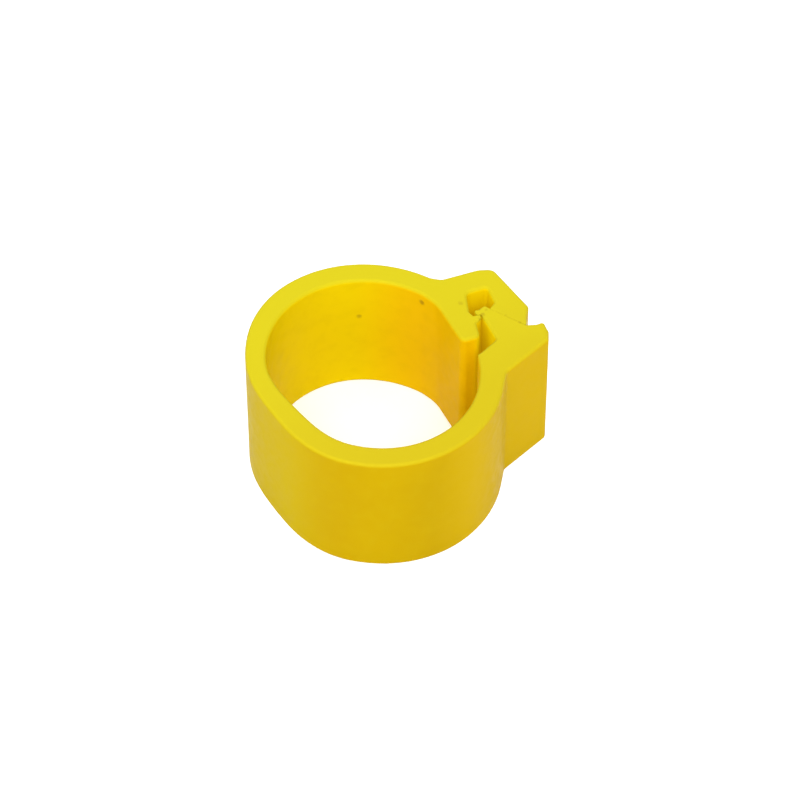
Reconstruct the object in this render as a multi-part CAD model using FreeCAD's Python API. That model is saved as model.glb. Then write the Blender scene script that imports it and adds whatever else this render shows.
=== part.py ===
"""Clip-on leg band: one flexible moulding that clips round a bird's leg.

The band stands on its lower rim. The origin is the centre of the leg passage at the lower rim,
+X points through the clasp and +Z runs up the band. Every zone of the moulding has the same
outline from rim to rim, so each one is a flat outline raised to the band's height.
The band opens on two flexing leaves, one each side of the wall that faces the clasp.
"""

import FreeCAD, Part
import math
import os

from FreeCAD import Vector

# Band, in millimetres and degrees. Angles are measured from +X towards +Y.
band_height = 5.75
passage_radius = 4.05  # mean inner radius
ovality = 0.056  # share of the radius lost along the short axis and gained along the long one
short_axis_angle = 12.0
wall = 0.98
rim_round = 0.05

# The wall facing the clasp is thinner, and pressed a little flat.
thinning = 0.18
thin_centre = 162.0
thin_half_span = 53.0
flat_depth = 0.25
flat_centre = 197.0
flat_half_span = 41.0

# Flexing leaves. Each turns about an upright axis in the middle of the wall.
rear_hinge_angle = 150.0
front_hinge_angle = 218.0
rear_leaf_end = 110.0
front_leaf_end = 254.0
hinge_gap = 0.05

# Rear claw: head, toe along the inside, and lip along the outside, with a pocket between them.
head_start = 43.0
toe_start = 40.0
pocket_back = 1.96
lip_face_top = 6.25  # the lip's outer face at the pocket's back
lip_face_bottom = 6.57
lip_face_end = 0.50
lip_root = 1.45
lip_inner = 5.43

# Front jaw: shoulder, hook finger and thumb nose.
jaw_start = 314.0
jaw_face_start = 322.0  # where the jaw's outer face leaves the ring's outline
jaw_inner_end = 340.0
shoulder_inner = -0.60
shoulder_outer = -0.44
finger_inner = 4.73
notch = 6.08
nose_root = 6.15
nose_low = -1.45

# The catch: a nib on the toe that holds the finger's barb.
nib_low = 0.42
nib_high = 0.76
nib_root = 4.40
nib_tip = 4.64
barb_tip = 4.53
barb_low = 0.80
barb_root = 0.72

SAMPLE_STEP = 4.0  # degrees between the points of a curve
FINE_STEP = 0.1
FAR = 30.0  # past every point of the band
OVERSHOOT = 1.0  # how far a cutting block stands past each rim
LEAF_SPARE = 15.0  # how far a leaf's cutting wedge runs past its hinge
CLAW_WEDGE_END = -20.0  # degrees, past the toe's lower end
JAW_WEDGE_END = 375.0  # degrees, past the barb
CORNER_SPARE = 0.01  # how far the nib's top corner lies inside the toe
FLAT = 1e-6


def bump(angle, centre, half_span):
    """A smooth hump: 1 at centre, falling to 0 half_span away."""
    off = abs((angle - centre + 180.0) % 360.0 - 180.0)
    if off >= half_span:
        return 0.0
    return 0.5 + 0.5 * math.cos(math.pi * off / half_span)


def inner_radius(angle):
    oval = 1.0 - ovality * math.cos(2.0 * math.radians(angle - short_axis_angle))
    return passage_radius * oval - flat_depth * bump(angle, flat_centre, flat_half_span)


def wall_at(angle):
    return wall - thinning * bump(angle, thin_centre, thin_half_span)


def inner_point(angle):
    turn = math.radians(angle)
    return Vector(math.cos(turn), math.sin(turn), 0) * inner_radius(angle)


def outward(angle):
    """The wall's outward normal."""
    along = inner_point(angle + FINE_STEP) - inner_point(angle - FINE_STEP)
    return Vector(along.y, -along.x, 0).normalize()


def outer_point(angle):
    return inner_point(angle) + outward(angle) * wall_at(angle)


def middle_point(angle):
    return (inner_point(angle) + outer_point(angle)) * 0.5


def curve(point_at, start, end):
    """A smooth edge along the band from one angle to another."""
    steps = max(3, round(abs(end - start) / SAMPLE_STEP))
    line = Part.BSplineCurve()
    line.interpolate([point_at(start + (end - start) * i / steps) for i in range(steps + 1)])
    return line.toShape()


def rounded_path(corners):
    """Straight runs through (x, y, radius) corners, each one rounded to its radius."""
    points = [Vector(x, y, 0) for x, y, _ in corners]
    edges = []
    here = points[0]
    for before, corner, after, (_, _, radius) in zip(points, points[1:], points[2:], corners[1:]):
        if radius:
            back = (before - corner).normalize()
            ahead = (after - corner).normalize()
            half = back.getAngle(ahead) / 2.0
            start = corner + back * (radius / math.tan(half))
            end = corner + ahead * (radius / math.tan(half))
            top = corner + (back + ahead).normalize() * (radius / math.sin(half) - radius)
            edges.append(Part.makeLine(here, start))
            edges.append(Part.Arc(start, top, end).toShape())
            here = end
        else:
            edges.append(Part.makeLine(here, corner))
            here = corner
    edges.append(Part.makeLine(here, points[-1]))
    return edges


def sharp_corner(point):
    return (point.x, point.y, 0.0)


def raised(edges):
    """The closed outline, raised to the band's height."""
    outline = Part.Wire(Part.__sortEdges__(edges))
    return Part.Face(outline).extrude(Vector(0, 0, band_height))


def soft_rims(solid):
    """Rounds the edges of both rims."""
    rims = [e for e in solid.Edges if e.BoundBox.ZLength < FLAT]
    return solid.makeFillet(rim_round, rims)


def knuckle(angle, side):
    """The half-round end of a leaf, centred on its hinge axis; side is 1 towards higher angles."""
    centre = middle_point(angle)
    normal = outward(angle)
    along = Vector(-normal.y, normal.x, 0) * side
    radius = wall_at(angle) / 2.0
    return Part.Arc(centre - normal * radius, centre + along * radius, centre + normal * radius).toShape()


def clear_of_knuckle(hinge_angle, side):
    """The first angle, going to one side of a hinge, where a flat wall end clears the knuckle."""
    centre = middle_point(hinge_angle)
    needed = wall_at(hinge_angle) / 2.0 + hinge_gap
    angle = hinge_angle
    distance = 0.0
    while distance < needed:
        angle += side * FINE_STEP
        end_face = outer_point(angle) - inner_point(angle)
        distance = (centre - inner_point(angle)).cross(end_face.normalize()).Length
    return angle


def wedge(start, end):
    """An upright block that covers every point between two angles."""
    steps = 4
    corners = [(0.0, 0.0)]
    for i in range(steps + 1):
        turn = math.radians(start + (end - start) * i / steps)
        corners.append((FAR * math.cos(turn), FAR * math.sin(turn)))
    return block(corners)


def block(corners):
    """An upright block over a polygon of (x, y) corners."""
    points = [Vector(x, y, -OVERSHOOT) for x, y in corners]
    face = Part.Face(Part.makePolygon(points + points[:1]))
    return face.extrude(Vector(0, 0, band_height + 2 * OVERSHOOT))


def flex_wall():
    """The stretch of wall between the two leaves, which stays still."""
    start = clear_of_knuckle(rear_hinge_angle, 1)
    end = clear_of_knuckle(front_hinge_angle, -1)
    edges = [curve(inner_point, start, end), curve(outer_point, start, end)]
    edges.append(Part.makeLine(inner_point(start), outer_point(start)))
    edges.append(Part.makeLine(inner_point(end), outer_point(end)))
    return soft_rims(raised(edges))


def rear_arm():
    """Rear leaf, band, claw head and toe, in one outline."""
    head_and_toe = [
        sharp_corner(outer_point(head_start)),
        (4.02, 3.04, 0.40),
        (5.50, 3.00, 0.80),
        (6.06, 2.81, 0.40),
        (lip_face_top, pocket_back, 0.0),
        (4.62, pocket_back, 0.20),
        (4.36, 1.05, 0.10),
        (nib_root - CORNER_SPARE, nib_high, 0.0),
        (nib_tip, nib_high - 0.06, 0.0),
        (nib_tip, nib_low + 0.18, 0.0),
        (nib_root, nib_low, 0.10),
        (4.26, -0.30, 0.28),
        (3.49, -0.28, 0.28),
        (3.33, 1.85, 2.00),
        sharp_corner(inner_point(toe_start)),
    ]
    edges = [curve(outer_point, rear_hinge_angle, head_start)]
    edges += rounded_path(head_and_toe)
    edges.append(curve(inner_point, toe_start, rear_hinge_angle))
    edges.append(knuckle(rear_hinge_angle, 1))
    return soft_rims(raised(edges))


def front_arm():
    """Front leaf, band, jaw, hook finger and nose, in one outline."""
    jaw_and_finger = [
        sharp_corner(outer_point(jaw_face_start)),
        (4.50, -2.30, 0.30),
        (6.60, -1.37, 0.22),
        (6.78, -0.95, 0.20),
        (6.78, -0.42, 0.15),
        (notch, shoulder_outer, 0.03),
        (5.12, 0.86, 0.10),
        (5.00, 1.08, 0.10),
        (barb_tip, 1.03, 0.08),
        (barb_tip, barb_low, 0.05),
        (finger_inner, barb_root, 0.05),
        (finger_inner, shoulder_inner, 0.10),
        (3.80, -1.06, 0.12),
        sharp_corner(inner_point(jaw_inner_end)),
    ]
    edges = [curve(outer_point, front_hinge_angle, jaw_face_start)]
    edges += rounded_path(jaw_and_finger)
    edges.append(curve(inner_point, jaw_inner_end, front_hinge_angle))
    edges.append(knuckle(front_hinge_angle, -1))
    return soft_rims(raised(edges))


def lip_root_outer():
    """Where the lip's outer face meets its root, along X."""
    share = (pocket_back - lip_root) / (pocket_back - lip_face_end)
    return lip_face_top + (lip_face_bottom - lip_face_top) * share


def latch_lip():
    """The outer lip, with a half-round root under the head."""
    lip_outer = lip_root_outer()
    body = [
        (lip_inner, lip_root, 0.0),
        (5.40, 1.18, 0.20),
        (5.20, 0.92, 0.10),
        (6.14, -0.34, 0.08),
        (lip_face_bottom, lip_face_end, 0.20),
        (lip_outer, lip_root, 0.0),
    ]
    radius = (lip_outer - lip_inner) / 2.0
    top = Vector((lip_outer + lip_inner) / 2.0, lip_root + radius, 0)
    root = Part.Arc(Vector(lip_inner, lip_root, 0), top, Vector(lip_outer, lip_root, 0)).toShape()
    return soft_rims(raised(rounded_path(body) + [root]))


def rear_zones(arm):
    """The rear arm, divided into its zones."""
    claw = arm.common(wedge(CLAW_WEDGE_END, head_start))
    head = claw.common(block([(0, pocket_back), (FAR, pocket_back), (FAR, FAR), (0, FAR)]))
    below = claw.common(block([(0, -FAR), (FAR, -FAR), (FAR, pocket_back), (0, pocket_back)]))
    nib_top = (nib_root - CORNER_SPARE, nib_high)
    nib_block = block([(nib_root, nib_low), (FAR, nib_low), (FAR, nib_high), nib_top])
    return {
        "rear_flex_leaf": arm.common(wedge(rear_leaf_end, rear_hinge_angle + LEAF_SPARE)),
        "rear_band": arm.common(wedge(head_start, rear_leaf_end)),
        "claw_head": head,
        "inner_toe": below.cut(nib_block),
        "catch_nib": below.common(nib_block),
    }


def front_zones(arm):
    """The front arm, divided into its zones."""
    jaw = arm.common(wedge(jaw_start, JAW_WEDGE_END))
    neck = [(barb_tip - wall, shoulder_inner), (finger_inner, shoulder_inner), (notch, shoulder_outer)]
    finger = jaw.common(block(neck + [(notch, FAR), (barb_tip - wall, FAR)]))
    tip = block([(0, barb_root), (FAR, barb_root), (FAR, FAR), (0, FAR)])
    nose = block([(nose_root, nose_low), (nose_root, 0), (FAR, 0), (FAR, nose_low)])
    return {
        "front_flex_leaf": arm.common(wedge(front_hinge_angle - LEAF_SPARE, front_leaf_end)),
        "front_band": arm.common(wedge(front_leaf_end, jaw_start)),
        "front_jaw": jaw.cut(finger).cut(nose),
        "hook_finger": finger.cut(tip),
        "hook_barb": finger.common(tip),
        "thumb_nose": jaw.common(nose).cut(finger),
    }


def main():
    os.makedirs("parts", exist_ok=True)
    zones = {"flex_wall": flex_wall(), "latch_lip": latch_lip()}
    zones.update(rear_zones(rear_arm()))
    zones.update(front_zones(front_arm()))
    for name, shape in zones.items():
        shape.exportStep(f"parts/{name}.step")
        print(name, len(shape.Solids), "solid,", round(shape.Volume, 3), "mm3, valid", shape.isValid())
    for name, angle in (("rear", rear_hinge_angle), ("front", front_hinge_angle)):
        centre = middle_point(angle)
        print(name, "hinge axis at", round(centre.x, 4), round(centre.y, 4))
    print("lip hinge axis at", round((lip_inner + lip_root_outer()) / 2.0, 4), lip_root)


main()
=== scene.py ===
import math

import bmesh
import bpy
import numpy as np
from mathutils import Matrix, Vector, geometry, noise


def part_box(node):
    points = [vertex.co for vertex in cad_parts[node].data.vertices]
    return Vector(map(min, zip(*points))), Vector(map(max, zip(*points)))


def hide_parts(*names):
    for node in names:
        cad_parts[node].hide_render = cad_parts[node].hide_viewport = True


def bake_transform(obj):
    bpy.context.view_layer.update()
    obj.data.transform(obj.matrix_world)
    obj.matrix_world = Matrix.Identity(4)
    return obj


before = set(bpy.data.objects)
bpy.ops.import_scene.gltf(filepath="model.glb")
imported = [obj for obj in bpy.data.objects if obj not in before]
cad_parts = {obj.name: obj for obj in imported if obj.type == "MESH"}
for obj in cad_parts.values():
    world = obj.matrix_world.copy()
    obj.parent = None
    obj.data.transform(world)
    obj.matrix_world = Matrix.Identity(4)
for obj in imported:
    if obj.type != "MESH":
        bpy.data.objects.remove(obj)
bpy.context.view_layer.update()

MM = 0.001
RIM_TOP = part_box("flex_wall")[1][2] / MM  # the band's height, in millimetres

# The outline, in millimetres and degrees, as the CAD has it.
PASSAGE_RADIUS = 4.05
OVALITY = 0.056
SHORT_AXIS_ANGLE = 12.0
WALL = 0.98
THINNING, THIN_CENTRE, THIN_HALF_SPAN = 0.18, 162.0, 53.0
FLAT_DEPTH, FLAT_CENTRE, FLAT_HALF_SPAN = 0.25, 197.0, 41.0
HEAD_START = 43.0  # where the ring's outer face ends and the head begins
TOE_START = 40.0
JAW_INNER_END = 340.0
JAW_FACE_START = 322.0
SEAM_ANGLE = 180.0  # where the two halves meet, on the still wall

# How finely the surfaces are divided.
FINE_STEP = 0.1  # degrees, for the direction of the inner face
STEP = 2.5  # degrees between the points of a curve
SPACING = 0.13
ARC_SPACING = 0.03
LEAST_ARC_STEPS = 6
REPEAT = 1e-4  # points closer than this are one point
RIM_STEPS = 5
WALL_STEPS = 14
CAP_GRID = 0.17
CAP_MARGIN = 0.45  # share of the grid's spacing that stays clear of the rim

# How the rims are softened. A rim is rounded less in a tight corner and along a closed seam.
RIM_ROUND = 0.18
LEAST_RIM = 0.012
RIM_SEARCH_START = 0.01
RIM_SEARCH_STEPS = 9
CLEAR_SHARE = 0.985  # share of a disc's radius that the outline has to stay clear of
RIM_SHARE = 0.86  # share of that disc that the rim uses
RIM_SLOPE = 0.45  # how fast a rim may change along the outline
CLOSED_RIM = 0.012
CLOSED_REACH = 0.05  # how far from a closed seam the rim stays at its least
CLOSED_SLOPE = 0.5

# The moulded surface's relief.
WAVE_DEPTH = 0.020
WAVE_SCALE = 0.33
WAVE_PLACE = (3.1, 7.7, 1.3)
GRAIN_DEPTH = 0.003
GRAIN_SCALE = 1.15
GRAIN_PLACE = (9.2, 0.4, 5.5)
STILL_REACH = 0.04  # no relief this near a closed seam
STILL_FADE = 0.35
FLASH_ZONE = 0.2  # flash is only this near the upper rim
FLASH_REACH = 6.0
SLOPE_STEP = 0.02


def bump(angle, centre, half_span):
    off = abs((angle - centre + 180.0) % 360.0 - 180.0)
    return 0.0 if off >= half_span else 0.5 + 0.5 * math.cos(math.pi * off / half_span)


def inner_point(angle):
    turn = math.radians(angle)
    radius = PASSAGE_RADIUS * (1.0 - OVALITY * math.cos(2.0 * math.radians(angle - SHORT_AXIS_ANGLE)))
    radius -= FLAT_DEPTH * bump(angle, FLAT_CENTRE, FLAT_HALF_SPAN)
    return np.array([math.cos(turn), math.sin(turn)]) * radius


def outer_point(angle):
    along = inner_point(angle + FINE_STEP) - inner_point(angle - FINE_STEP)
    outward = np.array([along[1], -along[0]]) / np.linalg.norm(along)
    return inner_point(angle) + outward * (WALL - THINNING * bump(angle, THIN_CENTRE, THIN_HALF_SPAN))


def curve(point_at, start, end):
    steps = max(2, round(abs(end - start) / STEP))
    return [point_at(start + (end - start) * i / steps) for i in range(steps + 1)]


def rounded(corners):
    """Points along straight runs through (x, y, radius) corners, each one rounded to its radius."""
    points = [np.array(c[:2], float) for c in corners]
    out = [points[0]]
    for before, corner, after, given in zip(points, points[1:], points[2:], corners[1:]):
        radius = given[2]
        if not radius:
            out.append(corner)
            continue
        back = (before - corner) / np.linalg.norm(before - corner)
        ahead = (after - corner) / np.linalg.norm(after - corner)
        half = math.acos(max(-1.0, min(1.0, float(back @ ahead)))) / 2.0
        middle = (back + ahead) / np.linalg.norm(back + ahead)
        centre = corner + middle * radius / math.sin(half)
        first = corner + back * radius / math.tan(half) - centre
        last = corner + ahead * radius / math.tan(half) - centre
        start = math.atan2(first[1], first[0])
        turn = (math.atan2(last[1], last[0]) - start + math.pi) % (2 * math.pi) - math.pi
        steps = max(LEAST_ARC_STEPS, int(abs(turn) * radius / ARC_SPACING) + 1)
        for i in range(steps + 1):
            a = start + turn * i / steps
            out.append(centre + radius * np.array([math.cos(a), math.sin(a)]))
    out.append(points[-1])
    return out


def spaced(points):
    """The same line with repeats left out and long runs divided."""
    out = [points[0]]
    for p in points[1:]:
        length = np.linalg.norm(p - out[-1])
        if length < REPEAT:
            continue
        start = out[-1]
        steps = max(1, math.ceil(length / SPACING))
        out += [start + (p - start) * i / steps for i in range(1, steps + 1)]
    return out


GHOST = 6.0  # degrees past the seam, for smooth normals across it
SEAM_HIGH = (6.163, 2.35)  # where the lip's piece starts on the outer face
SEAM_LOW = (5.28, 1.96)  # and where it ends, on the pocket's ceiling

# The clasp's corners, as (x, y, radius). The finger all but touches the lip and the toe here.
REAR_CORNERS = [
    tuple(outer_point(HEAD_START)) + (0.0,),
    (4.02, 3.04, 0.40),
    (5.50, 3.00, 0.80),
    (6.06, 2.81, 0.40),
    SEAM_HIGH + (0.0,),
    (6.57, 0.50, 0.20),
    (6.073, -0.397, 0.03),
    (5.118, 0.879, 0.05),
    (5.40, 1.18, 0.20),
    (5.43, 1.96, 0.13),
    SEAM_LOW + (0.0,),
    (4.62, 1.96, 0.20),
    (4.36, 1.05, 0.10),
    (4.39, 0.77, 0.02),
    (4.64, 0.73, 0.03),
    (4.64, 0.58, 0.04),
    (4.40, 0.42, 0.10),
    (4.26, -0.30, 0.28),
    (3.49, -0.28, 0.28),
    (3.33, 1.85, 2.00),
    tuple(inner_point(TOE_START)) + (0.0,),
]

FRONT_CORNERS = [
    tuple(inner_point(JAW_INNER_END)) + (0.0,),
    (3.80, -1.06, 0.12),
    (4.73, -0.60, 0.10),
    (4.70, 0.73, 0.04),
    (4.53, 0.785, 0.04),
    (4.53, 1.03, 0.08),
    (5.00, 1.08, 0.10),
    (5.12, 0.87, 0.08),
    (6.08, -0.42, 0.03),
    (6.78, -0.42, 0.15),
    (6.78, -0.95, 0.20),
    (6.60, -1.37, 0.22),
    (4.50, -2.30, 0.30),
    tuple(outer_point(JAW_FACE_START)) + (0.0,),
]

# Where two faces all but touch, their rims are sharp.
CLOSED_LINE = [(6.09, -0.40), (5.13, 0.88), (5.0, 1.05)]
CATCH_LINE = [(4.50, 0.78), (4.70, 0.74)]


def distances(points, line):
    """From each point to the nearest place on an open line."""
    p = np.asarray(points)[:, None, :]
    a = np.asarray(line)[:-1][None]
    b = np.asarray(line)[1:][None]
    along = b - a
    share = np.clip(((p - a) * along).sum(2) / np.maximum((along**2).sum(2), 1e-12), 0, 1)
    return np.linalg.norm(a + along * share[..., None] - p, axis=2).min(1)


def normals_of(path):
    """Outward normals; the material is on the right of the way along the path."""
    step = np.diff(path, axis=0)
    step /= np.linalg.norm(step, axis=1)[:, None]
    mean = np.vstack([step[:1], step[:-1] + step[1:], step[-1:]])
    mean /= np.linalg.norm(mean, axis=1)[:, None]
    return np.c_[-mean[:, 1], mean[:, 0]]


def rims_of(path, normals):
    """How far the rim can be rounded at each point of the path."""
    low = np.full(len(path), RIM_SEARCH_START)
    high = np.full(len(path), RIM_ROUND)
    for _ in range(RIM_SEARCH_STEPS):
        middle = (low + high) / 2
        fits = distances(path - normals * middle[:, None], path) > middle * CLEAR_SHARE
        low = np.where(fits, middle, low)
        high = np.where(fits, high, middle)
    rim = np.maximum(low * RIM_SHARE, LEAST_RIM)
    for line in (CLOSED_LINE, CATCH_LINE):
        near = distances(path, line)
        rim = np.minimum(rim, CLOSED_RIM + np.maximum(near - CLOSED_REACH, 0) * CLOSED_SLOPE)
    gaps = np.linalg.norm(np.diff(path, axis=0), axis=1)
    for order in (range(1, len(path)), range(len(path) - 2, -1, -1)):
        for i in order:
            j = i - 1 if order.step > 0 else i + 1
            rim[i] = min(rim[i], rim[j] + gaps[min(i, j)] * RIM_SLOPE)
    return rim


def nearest(path, place):
    return int(np.argmin(np.linalg.norm(path - place, axis=1)))


def outline(points, start, end):
    """A path with its normals and rims, cut back to the seam at both ends."""
    path = np.array(spaced(points))
    normals = normals_of(path)
    rims = rims_of(path, normals)
    keep = slice(nearest(path, start), nearest(path, end) + 1)
    return path[keep], normals[keep], rims[keep]


def rear_outline():
    points = curve(outer_point, SEAM_ANGLE + GHOST, SEAM_ANGLE)
    points += curve(outer_point, SEAM_ANGLE, HEAD_START)
    points += rounded(REAR_CORNERS)
    points += curve(inner_point, TOE_START, SEAM_ANGLE)
    points += curve(inner_point, SEAM_ANGLE, SEAM_ANGLE + GHOST)
    return outline(points, outer_point(SEAM_ANGLE), inner_point(SEAM_ANGLE))


def front_outline():
    points = curve(inner_point, SEAM_ANGLE - GHOST, SEAM_ANGLE)
    points += curve(inner_point, SEAM_ANGLE, JAW_INNER_END)
    points += rounded(FRONT_CORNERS)
    points += curve(outer_point, JAW_FACE_START, SEAM_ANGLE)
    points += curve(outer_point, SEAM_ANGLE, SEAM_ANGLE - GHOST)
    return outline(points, inner_point(SEAM_ANGLE), outer_point(SEAM_ANGLE))


# Flash: small raised beads along the closed seams, as (x, y, radius, height).
FLASH = [
    (4.60, 0.98, 0.10, 0.020), (4.78, 1.00, 0.07, 0.016), (4.46, 0.88, 0.07, 0.016),
    (4.62, 0.62, 0.06, 0.014), (5.32, 0.62, 0.07, 0.014), (5.78, 0.02, 0.09, 0.016),
    (5.55, 0.34, 0.06, 0.010), (4.70, 0.80, 0.08, 0.014),
]


def from_line(p, line):
    """How far a point is from an open line of (x, y) corners."""
    near = math.inf
    for (ax, ay), (bx, by) in zip(line, line[1:]):
        dx, dy = bx - ax, by - ay
        share = max(0.0, min(1.0, ((p[0] - ax) * dx + (p[1] - ay) * dy) / (dx * dx + dy * dy)))
        near = min(near, math.hypot(ax + dx * share - p[0], ay + dy * share - p[1]))
    return near


def relief(p):
    """How far the moulded surface lies from its ideal, in millimetres; below it is negative."""
    v = Vector(p)
    closed = min(from_line(p, line) for line in (CLOSED_LINE, CATCH_LINE))
    wave = noise.noise(v * WAVE_SCALE + Vector(WAVE_PLACE))
    small = noise.noise(v * GRAIN_SCALE + Vector(GRAIN_PLACE))
    depth = WAVE_DEPTH * (0.5 + 0.5 * wave) + GRAIN_DEPTH * (0.5 + 0.5 * small)
    depth *= min(1.0, max(0.0, (closed - STILL_REACH) / STILL_FADE))
    if p[2] > RIM_TOP - FLASH_ZONE:
        for x, y, radius, height in FLASH:
            far = ((p[0] - x) ** 2 + (p[1] - y) ** 2) / radius**2
            if far < FLASH_REACH:
                depth -= height * math.exp(-far)
    return -max(depth, 0.0)


def moulded(p, n):
    """The point and normal after the relief is pressed into the surface."""
    here = relief(p)
    slope = Vector((0.0, 0.0, 0.0))
    for i in range(3):
        beside = [p[j] + (SLOPE_STEP if j == i else 0.0) for j in range(3)]
        slope[i] = (relief(beside) - here) / SLOPE_STEP
    n = Vector(n)
    slope -= n * slope.dot(n)
    return Vector(p) + n * here, (n - slope).normalized()


class Shell:
    """A prism with soft rims, built from runs of wall and flat seams between them."""

    def __init__(self):
        self.points = []
        self.normals = []
        self.faces = []
        self.flat = set()

    def point(self, p, n):
        place, normal = moulded(p, n)
        self.points.append(place)
        self.normals.append(normal)
        return len(self.points) - 1

    def column(self, xy, normal, rim):
        """One line of wall from the lower cap to the upper one."""
        turns = [math.pi / 2 * i / RIM_STEPS for i in range(RIM_STEPS + 1)]
        spots = [(t, -1.0, rim * (1 - math.sin(t))) for t in reversed(turns)]
        straight = RIM_TOP - 2 * rim
        spots += [(0.0, 0.0, rim + straight * i / WALL_STEPS) for i in range(1, WALL_STEPS)]
        spots += [(t, 1.0, RIM_TOP - rim * (1 - math.sin(t))) for t in turns]
        out = []
        for turn, way, z in spots:
            xy_here = xy - normal * rim * (1 - math.cos(turn))
            tilt = (normal[0] * math.cos(turn), normal[1] * math.cos(turn), way * math.sin(turn))
            out.append(self.point((xy_here[0], xy_here[1], z), tilt))
        return out

    def wall(self, path, normals, rims):
        columns = [self.column(*each) for each in zip(path, normals, rims)]
        for a, b in zip(columns, columns[1:]):
            for i in range(len(a) - 1):
                self.faces.append((a[i], a[i + 1], b[i + 1], b[i]))
        return columns

    def seam(self, from_column, to_column, line):
        """Flat faces through the points between two runs; returns the new points on both rims."""
        lower = [self.point((x, y, 0.0), (0, 0, -1)) for x, y in line]
        upper = [self.point((x, y, RIM_TOP), (0, 0, 1)) for x, y in line]
        self.flat.add(len(self.faces))
        self.faces.append(tuple(from_column) + (upper[0], lower[0]))
        for i in range(len(line) - 1):
            self.flat.add(len(self.faces))
            self.faces.append((lower[i], upper[i], upper[i + 1], lower[i + 1]))
        self.flat.add(len(self.faces))
        self.faces.append((lower[-1], upper[-1]) + tuple(reversed(to_column)))
        return lower, upper

    def cap(self, rim, top):
        """Fills a rim with small triangles, on a staggered grid inside it."""
        z = RIM_TOP if top else 0.0
        edge = np.array([self.points[i][:2] for i in rim])
        low, high = edge.min(0), edge.max(0)
        grid = []
        rows = np.arange(low[1], high[1], CAP_GRID)
        for r, y in enumerate(rows):
            grid += [(x + (r % 2) * CAP_GRID / 2, y) for x in np.arange(low[0], high[0], CAP_GRID)]
        grid = np.array(grid)
        closed = np.vstack([edge, edge[:1]])
        grid = grid[distances(grid, closed) > CAP_GRID * CAP_MARGIN]
        a, b = closed[:-1], closed[1:]
        above = (a[:, 1][None] > grid[:, 1][:, None]) != (b[:, 1][None] > grid[:, 1][:, None])
        with np.errstate(divide="ignore", invalid="ignore"):
            cross = a[:, 0] + (grid[:, 1][:, None] - a[:, 1]) * (b - a)[:, 0] / (b - a)[:, 1]
        inside = (above & (grid[:, 0][:, None] < cross)).sum(1) % 2 == 1
        grid = grid[inside]
        flat = [Vector(p) for p in edge] + [Vector(p) for p in grid]
        loop = list(range(len(edge)))
        made = geometry.delaunay_2d_cdt(flat, [], [loop], 1, 1e-7)
        index = {}
        for new, olds in enumerate(made[3]):
            old = min(olds)
            if old < len(rim):
                index[new] = rim[old]
            else:
                x, y = made[0][new]
                index[new] = self.point((x, y, z), (0, 0, 1 if top else -1))
        for face in made[2]:
            corners = [index[i] for i in face]
            self.faces.append(tuple(corners if top else reversed(corners)))

    def build(self, name, material):
        mesh = bpy.data.meshes.new(name)
        mesh.from_pydata([p * MM for p in self.points], [], self.faces)
        mesh.polygons.foreach_set("use_smooth", [True] * len(self.faces))
        bm = bmesh.new()
        bm.from_mesh(mesh)
        bmesh.ops.recalc_face_normals(bm, faces=bm.faces)
        bm.to_mesh(mesh)
        bm.free()
        mesh.update()
        loops = []
        for polygon in mesh.polygons:
            own = polygon.normal.copy()
            for corner in polygon.vertices:
                loops.append(own if polygon.index in self.flat else self.normals[corner])
        mesh.normals_split_custom_set(loops)
        mesh.materials.append(material)
        piece = bpy.data.objects.new(name, mesh)
        bpy.context.scene.collection.objects.link(piece)
        return piece


def prism(name, runs, seams, material):
    """runs are (path, normals, rims); seams[i] is the line from the end of run i to the next run."""
    shell = Shell()
    walls = [shell.wall(*run) for run in runs]
    lower, upper = [], []
    for i, columns in enumerate(walls):
        following = walls[(i + 1) % len(walls)]
        seam_lower, seam_upper = shell.seam(columns[-1], following[0], seams[i])
        lower += [c[0] for c in columns] + seam_lower
        upper += [c[-1] for c in columns] + seam_upper
    shell.cap(upper, True)
    shell.cap(lower, False)
    return shell.build(name, material)


def between(a, b, count):
    a, b = np.array(a), np.array(b)
    return [a + (b - a) * i / (count + 1) for i in range(1, count + 1)]


# ---------------------------------------------------------------- materials


class Nodes:
    """Short calls for building a node tree."""

    def __init__(self, name):
        self.material = bpy.data.materials.new(name)
        self.material.use_nodes = True
        self.tree = self.material.node_tree
        self.shader = self.tree.nodes["Principled BSDF"]

    def add(self, kind, inputs=(), **settings):
        node = self.tree.nodes.new(kind)
        for key, value in settings.items():
            setattr(node, key, value)
        for key, value in dict(inputs).items():
            if isinstance(value, bpy.types.NodeSocket):
                self.tree.links.new(value, node.inputs[key])
            else:
                node.inputs[key].default_value = value
        return node

    def math(self, operation, a, b):
        return self.add("ShaderNodeMath", {0: a, 1: b}, operation=operation).outputs[0]

    def vector(self, operation, inputs, output="Vector"):
        return self.add("ShaderNodeVectorMath", inputs, operation=operation).outputs[output]

    def mix(self, factor, a, b):
        node = self.add("ShaderNodeMix", data_type="RGBA")
        for key, value in (("Factor_Float", factor), ("A_Color", a), ("B_Color", b)):
            socket = next(s for s in node.inputs if s.identifier == key)
            if isinstance(value, bpy.types.NodeSocket):
                self.tree.links.new(value, socket)
            else:
                socket.default_value = value
        return next(s for s in node.outputs if s.identifier == "Result_Color")

    def ramp(self, value, low, high, to_low=0.0, to_high=1.0):
        inputs = {"Value": value, "From Min": low, "From Max": high, "To Min": to_low, "To Max": to_high}
        return self.add("ShaderNodeMapRange", inputs, interpolation_type="SMOOTHSTEP").outputs[0]

    def noise(self, vector, scale, detail=2.0, roughness=0.5):
        inputs = {"Vector": vector, "Scale": scale, "Detail": detail, "Roughness": roughness}
        return self.add("ShaderNodeTexNoise", inputs).outputs[0]

    def finish(self, **sockets):
        for key, value in sockets.items():
            self.tree.links.new(value, self.shader.inputs[key.replace("_", " ")])
        return self.material


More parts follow.
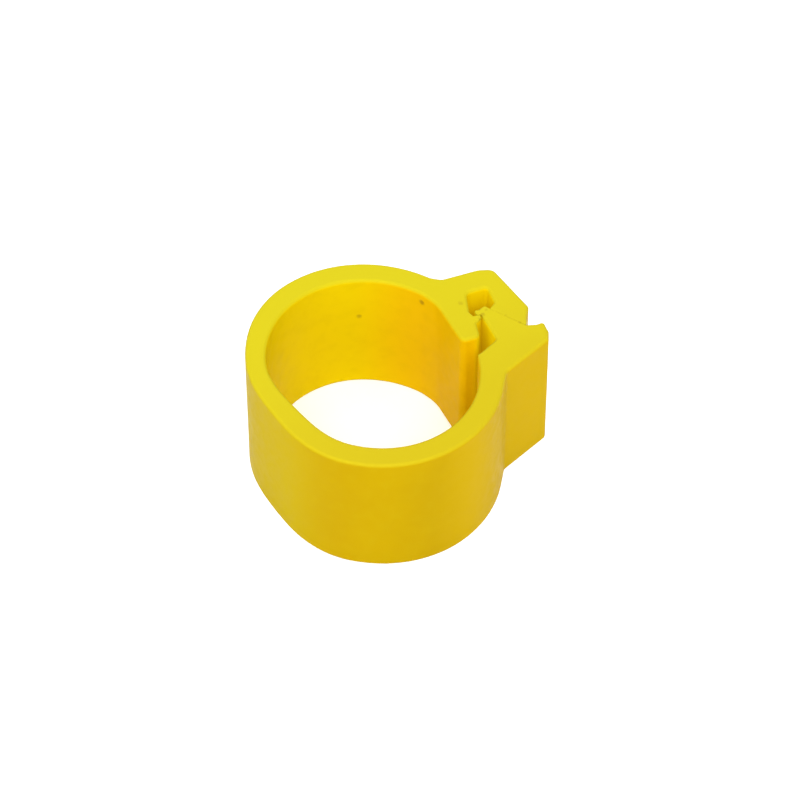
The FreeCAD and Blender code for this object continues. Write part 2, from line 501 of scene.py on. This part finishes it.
# Flecks of burnt plastic, as ((x, y, z), radius, darkness), with places and radii in millimetres.
FLECKS = [
    ((3.01, 2.52, 5.30), 0.13, 0.62),
    ((1.02, 4.06, 3.76), 0.12, 0.45),
    ((3.62, 1.27, 4.60), 0.10, 0.15),
    ((3.84, -0.02, 3.22), 0.09, 0.25),
    ((4.21, 1.56, 5.73), 0.10, 0.25),
    ((4.76, 0.70, 5.73), 0.10, 0.38),
    ((4.69, 1.03, 5.73), 0.09, 0.32),
    ((4.95, 0.87, 5.73), 0.07, 0.25),
    ((4.57, 0.53, 5.73), 0.08, 0.28),
    ((5.56, 0.36, 5.73), 0.07, 0.18),
    ((5.89, -0.16, 5.73), 0.09, 0.22),
    ((4.35, -2.58, 4.95), 0.12, 0.35),
]

# Where the colours change, in millimetres.
CLASP_CENTRE = (4.95, 0.80, 0.0)
# The rims in these two zones take the top's colour: painted light, lighter than the walls.
TOP_ZONE = (0.16, 0.02)  # below the upper rim
FLOOR_ZONE = (0.14, 0.02)  # above the lower rim
# Inside this radius the wall is painted lighter than the outer wall, as painted light.
RING_ZONE = (4.42, 4.30)  # from the passage's axis
# Near the clasp's centre the pocket and the gap are painted lighter, as painted light.
CLASP_ZONE = (1.50, 1.25)  # from the clasp's centre
# Past these two ranges the outer wall is painted paler, as painted light on its sides.
FRONT_ZONE = (-4.2, -1.6)  # along Y
RIGHT_ZONE = (0.0, 2.6)  # along X
# Along this range the inner wall is painted deeper orange towards the right, as painted shade.
INSIDE_ZONE = (0.5, 3.2)  # along X
# Painted light: the top grows lighter towards the back across this range.
TOP_DRIFT = (-3.5, 5.0)  # along Y, and moved by up to CLOUD_DRIFT
CLOUD_DRIFT = 3.0

# The top's two yellows are painted light, lighter than the walls; the paler one also tints the mottle.
PAINTED_LIT_TOP = (0.430, 0.365, 0.008, 1.0)
MOTTLE_AND_LIT_TOP = (0.395, 0.310, 0.007, 1.0)
AMBER = (0.355, 0.228, 0.0003, 1.0)
DEEP = (0.343, 0.217, 0.0003, 1.0)
# The two side colours are painted light: the outer wall paler away from its front.
PAINTED_LIT_LEFT_SIDE = (0.370, 0.266, 0.0003, 1.0)
PAINTED_LIT_RIGHT_SIDE = (0.420, 0.272, 0.0003, 1.0)
# Painted light and shade for the inner wall: lighter than the outer wall, deeper orange on its right.
PAINTED_LIT_INSIDE = (0.635, 0.475, 0.0003, 1.0)
PAINTED_SHADE_INSIDE_RIGHT = (0.645, 0.393, 0.0003, 1.0)
# Painted light: the pocket and the gap round the clasp lighter than their shade would leave them.
PAINTED_LIT_POCKET = (0.54, 0.42, 0.001, 1.0)
BURNT = (0.17, 0.085, 0.006, 1.0)
SHEEN = (1.0, 0.80, 0.12, 1.0)
MOTTLE_SHARE = 0.10

# Painted glow: emission round the pocket and the gap, standing in for light that comes through the thin
# plastic.
PAINTED_GLOW_COLOUR = (0.86, 0.50, 0.0, 1.0)
PAINTED_GLOW_STRENGTH = 0.21
PAINTED_GLOW_ZONE = (1.75, 1.35)  # from the clasp's centre
PAINTED_GLOW_START = (3.50, 4.35)  # from the passage's axis

# Scales of the noises, in cycles over a metre.
CLOUD_SCALE = 420.0
MOTTLE_SCALE = 1900.0
SATIN_SCALE = 2600.0
WOBBLE_SCALE = 5200.0
SPECK_SCALE = 800.0
RARE_SCALE = 700.0

WOBBLE = 0.16  # how far a fleck's edge wanders, in millimetres
DUST_DARKNESS = 0.35
BUMP_STRENGTH = 0.08
BUMP_DEPTH = 0.012


def millimetres(limits):
    return [limit * MM for limit in limits]


def body_colour(n, x, y, rim, from_axis, from_clasp, cloud, mottle):
    """Painted light and shade: deeper walls under lighter rims, lighter and warmer inside the ring and
    the pocket.
    """
    mottling = n.ramp(mottle, 0.4, 0.8, 0.0, MOTTLE_SHARE)
    outside = n.mix(n.ramp(cloud, 0.35, 0.65), AMBER, DEEP)
    outside = n.mix(mottling, outside, MOTTLE_AND_LIT_TOP)
    # Painted light: the outer wall paler on its left and back, and on its right.
    outside = n.mix(n.ramp(y, *millimetres(FRONT_ZONE)), outside, PAINTED_LIT_LEFT_SIDE)
    outside = n.mix(n.ramp(x, *millimetres(RIGHT_ZONE)), outside, PAINTED_LIT_RIGHT_SIDE)
    # Painted light and shade: the inner wall lighter, and deeper orange towards its right.
    inside = n.mix(n.ramp(x, *millimetres(INSIDE_ZONE)), PAINTED_LIT_INSIDE, PAINTED_SHADE_INSIDE_RIGHT)
    inside = n.mix(mottling, inside, AMBER)
    wall_colour = n.mix(n.ramp(from_axis, *millimetres(RING_ZONE)), outside, inside)
    # Painted light: the pocket and the gap round the clasp lighter.
    wall_colour = n.mix(n.ramp(from_clasp, *millimetres(CLASP_ZONE)), wall_colour, PAINTED_LIT_POCKET)
    drift = n.math("ADD", y, n.math("MULTIPLY", cloud, CLOUD_DRIFT * MM))
    # Painted light: the top lighter than the walls and lighter towards the back, with a cloudy edge.
    painted_lit_top = n.mix(n.ramp(drift, *millimetres(TOP_DRIFT)), MOTTLE_AND_LIT_TOP, PAINTED_LIT_TOP)
    # Painted light and shade: the rims take the lit top colour, the walls keep the deeper colour.
    return n.mix(rim, wall_colour, painted_lit_top)


def burnt_share(n, where):
    """Rare dust all over, and the flecks, with wandering edges."""
    specks = n.add("ShaderNodeTexVoronoi", {"Vector": where, "Scale": SPECK_SCALE}).outputs["Distance"]
    rare = n.ramp(n.noise(where, RARE_SCALE, 0.0), 0.66, 0.70)
    dust = n.math("MULTIPLY", n.ramp(specks, 0.10, 0.04), rare)
    burnt = n.math("MULTIPLY", dust, DUST_DARKNESS)
    wobble_inputs = {"Vector": where, "Scale": WOBBLE_SCALE, "Detail": 2.0}
    wobble = n.add("ShaderNodeTexNoise", wobble_inputs).outputs[1]
    shift = n.vector("SUBTRACT", {0: wobble, 1: (0.5, 0.5, 0.5)})
    shift = n.vector("SCALE", {0: shift, "Scale": WOBBLE * MM})
    moved = n.vector("ADD", {0: where, 1: shift})
    for place, radius, darkness in FLECKS:
        far = n.vector("DISTANCE", {0: moved, 1: millimetres(place)}, "Value")
        fleck = n.ramp(far, radius * 1.3 * MM, radius * 0.3 * MM, 0.0, darkness)
        burnt = n.math("MAXIMUM", burnt, fleck)
    return burnt


def moulded_plastic():
    n = Nodes("moulded_yellow_plastic")
    where = n.add("ShaderNodeTexCoord").outputs["Object"]
    x, y, z = n.add("ShaderNodeSeparateXYZ", {0: where}).outputs[:3]
    top = RIM_TOP * MM
    near_top = n.ramp(z, *[top - limit * MM for limit in TOP_ZONE])
    near_floor = n.ramp(z, *millimetres(FLOOR_ZONE))
    # rim marks the upper and lower rims, which the body's colour paints lighter as painted light.
    rim = n.math("MAXIMUM", near_top, near_floor)
    cloud = n.noise(where, CLOUD_SCALE, 3.0, 0.55)
    mottle = n.noise(where, MOTTLE_SCALE, 2.0, 0.5)
    flat = n.add("ShaderNodeCombineXYZ", {0: x, 1: y}).outputs[0]
    from_axis = n.vector("LENGTH", {0: flat}, "Value")
    from_clasp = n.vector("DISTANCE", {0: flat, 1: millimetres(CLASP_CENTRE)}, "Value")
    colour = body_colour(n, x, y, rim, from_axis, from_clasp, cloud, mottle)
    colour = n.mix(burnt_share(n, where), colour, BURNT)
    satin = n.noise(where, SATIN_SCALE, 4.0, 0.6)
    rough = n.ramp(satin, 0.3, 0.7, 0.36, 0.50)
    gloss = n.ramp(rim, 0.0, 1.0, 0.012, 0.07)
    height = n.math("ADD", n.math("MULTIPLY", satin, 0.6), n.math("MULTIPLY", cloud, 1.6))
    bump_inputs = {"Height": height, "Strength": BUMP_STRENGTH, "Distance": BUMP_DEPTH * MM}
    skin = n.add("ShaderNodeBump", bump_inputs)
    # Painted glow: emission near the clasp, away from the axis, fading out at the rims.
    through = n.ramp(from_clasp, *millimetres(PAINTED_GLOW_ZONE))
    through = n.math("MULTIPLY", through, n.ramp(from_axis, *millimetres(PAINTED_GLOW_START)))
    through = n.math("MULTIPLY", through, n.ramp(rim, 0.0, 1.0, PAINTED_GLOW_STRENGTH, 0.0))
    n.shader.inputs["IOR"].default_value = 1.50
    n.shader.inputs["Specular Tint"].default_value = SHEEN
    n.shader.inputs["Emission Color"].default_value = PAINTED_GLOW_COLOUR
    return n.finish(
        Base_Color=colour,
        Roughness=rough,
        Specular_IOR_Level=gloss,
        Emission_Strength=through,
        Normal=skin.outputs[0],
    )


def floor_material():
    n = Nodes("pale_floor")
    where = n.add("ShaderNodeTexCoord").outputs["Object"]
    grain = n.noise(where, 160.0, 3.0)
    colour = n.mix(n.ramp(grain, 0.3, 0.7), (0.91, 0.92, 0.96, 1.0), (0.93, 0.94, 0.98, 1.0))
    n.shader.inputs["Roughness"].default_value = 0.9
    n.shader.inputs["Specular IOR Level"].default_value = 0.1
    n.shader.inputs["Emission Color"].default_value = (0.80, 0.88, 1.0, 1.0)
    n.shader.inputs["Emission Strength"].default_value = FLOOR_GLOW
    return n.finish(Base_Color=colour)


# ---------------------------------------------------------------- the band


SEAM_POINTS = 4
LIP_SEAM_INSET = 0.40
POCKET_SEAM_INSET = 0.30

REAR_NODES = ("flex_wall", "rear_flex_leaf", "rear_band", "claw_head", "inner_toe", "catch_nib")
FRONT_NODES = ("front_flex_leaf", "front_band", "front_jaw", "hook_finger", "hook_barb", "thumb_nose")


def build_band():
    plastic = moulded_plastic()
    path, normals, rims = rear_outline()
    high = nearest(path, SEAM_HIGH)
    low = nearest(path, SEAM_LOW)
    wall_seam = between(inner_point(SEAM_ANGLE), outer_point(SEAM_ANGLE), SEAM_POINTS)
    lip_line = [
        np.array(SEAM_HIGH) - normals[high] * LIP_SEAM_INSET,
        np.array([SEAM_LOW[0], SEAM_LOW[1] + POCKET_SEAM_INSET]),
    ]

    def part(first, last):
        return path[first:last], normals[first:last], rims[first:last]

    rear = prism("rear_half", [part(0, high + 1), part(low, None)], [lip_line, wall_seam], plastic)
    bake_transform(rear)
    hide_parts(*REAR_NODES)

    lip = prism("outer_lip", [part(high, low + 1)], [lip_line[::-1]], plastic)
    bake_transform(lip)
    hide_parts("latch_lip")

    front = prism("front_half", [front_outline()], [wall_seam[::-1]], plastic)
    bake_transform(front)
    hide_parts(*FRONT_NODES)


# ---------------------------------------------------------------- floor, light and camera


FLOOR_HALF = 0.35
FLOOR_STEPS = 8
FLOOR_GLOW = 0.20  # the floor gives off a little light, as a light table does
WORLD_LIGHT = 0.66


def build_floor():
    mesh = bpy.data.meshes.new("floor")
    count = FLOOR_STEPS + 1
    spots = [-FLOOR_HALF + 2 * FLOOR_HALF * i / FLOOR_STEPS for i in range(count)]
    starts = [row * count + i for row in range(FLOOR_STEPS) for i in range(FLOOR_STEPS)]
    faces = [(i, i + 1, i + count + 1, i + count) for i in starts]
    mesh.from_pydata([(x, y, 0.0) for y in spots for x in spots], [], faces)
    mesh.materials.append(floor_material())
    floor = bpy.data.objects.new("floor", mesh)
    bpy.context.scene.collection.objects.link(floor)


def area_light(name, place, size, power):
    data = bpy.data.lights.new(name, "AREA")
    data.shape = "DISK"
    data.size = size
    data.energy = power
    light = bpy.data.objects.new(name, data)
    light.location = place
    light.rotation_mode = "QUATERNION"
    target = Vector((0.0, 0.0, RIM_TOP * MM / 2))
    light.rotation_quaternion = (target - Vector(place)).to_track_quat("-Z", "Y")
    bpy.context.scene.collection.objects.link(light)


def build_light():
    world = bpy.data.worlds.new("studio")
    world.use_nodes = True
    background = world.node_tree.nodes["Background"]
    background.inputs["Color"].default_value = (1.0, 1.0, 1.0, 1.0)
    background.inputs["Strength"].default_value = WORLD_LIGHT
    bpy.context.scene.world = world
    area_light("front_softbox", (-0.032, -0.080, 0.115), 0.09, 0.18)
    area_light("top_softbox", (-0.02, 0.07, 0.13), 0.12, 0.07)
    area_light("right_softbox", (0.09, -0.06, 0.12), 0.10, 0.08)
    area_light("left_softbox", (-0.11, -0.05, 0.06), 0.10, 0.06)


# The camera's distances are in metres, its angles in degrees, its sensor and lens in millimetres.
CAMERA_AZIMUTH = -21.06
CAMERA_ELEVATION = 48.70
CAMERA_ROLL = 0.5
CAMERA_DISTANCE = 0.150
CAMERA_SENSOR = 36.0
CAMERA_LENS = 177.9
CAMERA_SHIFT = (0.03378, 0.01587)
CAMERA_RANGE = (0.01, 5.0)


def build_camera():
    data = bpy.data.cameras.new("camera")
    data.sensor_width = CAMERA_SENSOR
    data.lens = CAMERA_LENS
    data.shift_x, data.shift_y = CAMERA_SHIFT
    data.clip_start, data.clip_end = CAMERA_RANGE
    camera = bpy.data.objects.new("camera", data)
    side = math.radians(CAMERA_AZIMUTH)
    rise = math.radians(CAMERA_ELEVATION)
    back = Vector((math.sin(side) * math.cos(rise), -math.cos(side) * math.cos(rise), math.sin(rise)))
    camera.location = Vector((0.0, 0.0, RIM_TOP * MM / 2)) + back * CAMERA_DISTANCE
    camera.rotation_mode = "QUATERNION"
    facing = (-back).to_track_quat("-Z", "Y").to_matrix()
    roll = Matrix.Rotation(math.radians(-CAMERA_ROLL), 3, "Z")
    camera.rotation_quaternion = (facing @ roll).to_quaternion()
    bpy.context.scene.collection.objects.link(camera)
    bpy.context.scene.camera = camera
    bpy.context.scene.view_settings.view_transform = "Standard"


build_band()
build_floor()
build_light()
build_camera()
